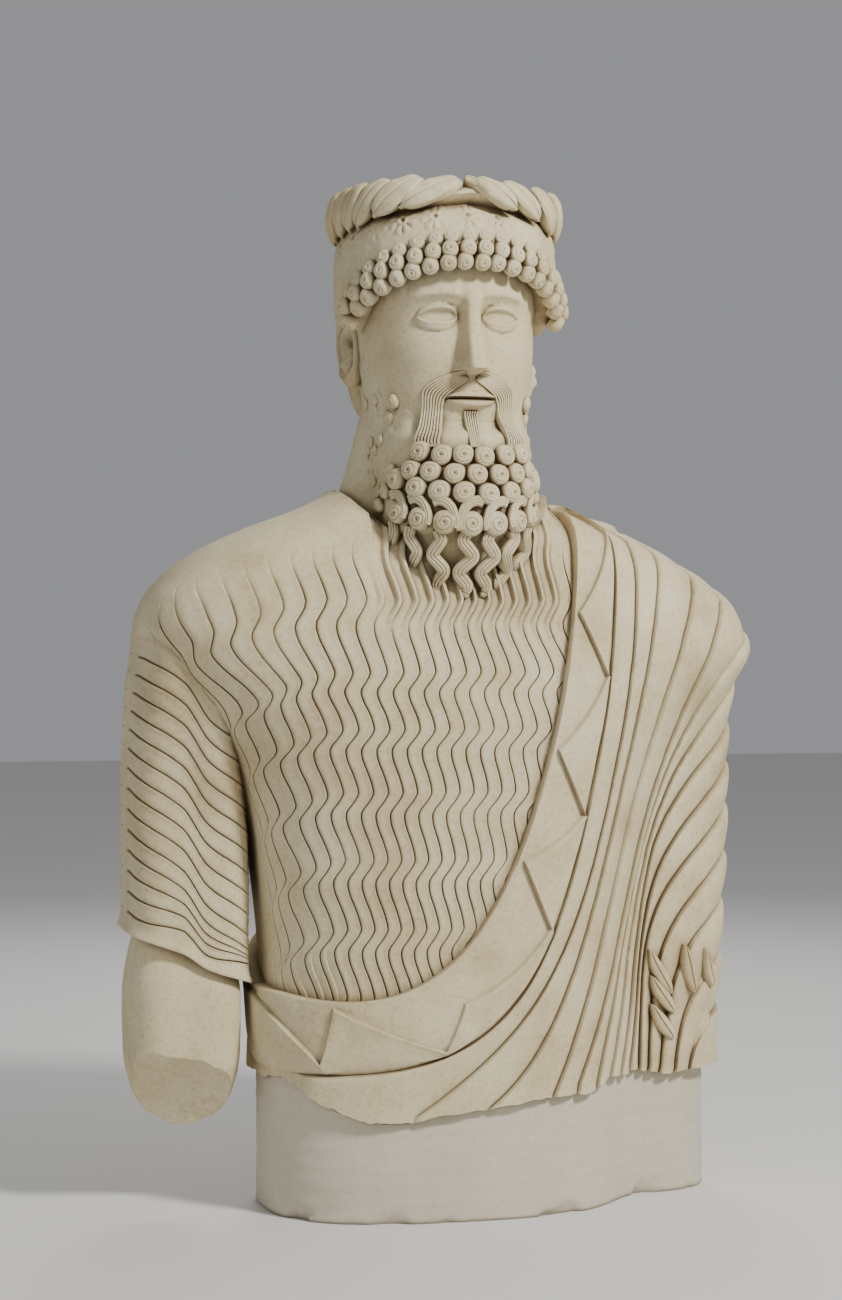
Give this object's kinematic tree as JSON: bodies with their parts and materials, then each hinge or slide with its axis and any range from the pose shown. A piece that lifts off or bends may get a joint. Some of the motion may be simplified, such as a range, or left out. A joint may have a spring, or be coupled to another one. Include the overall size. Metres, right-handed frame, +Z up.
{
  "type": "bearded man statue",
  "caption": "Limestone upper body of a bearded, wreathed man in a finely pleated shirt and a draped mantle, broken at the hips, on a plain plaster foot.",
  "frame": {"origin": "on the underside of the plaster foot, on the figure's middle line", "axes": "+Z up, the figure faces -Y, and its left side (the draped arm) is at +X"},
  "size_m": [0.7416, 0.3373, 1.153],
  "materials": {
    "limestone": "carved pale yellow limestone, matt, with fine grain and brown earth in the recesses",
    "plaster": "flat matt off-white plaster with faint level tool lines and two upright joins"
  },
  "bodies": {
    "root": {"statue": "limestone", "base": "plaster"}
  },
  "joints": []
}
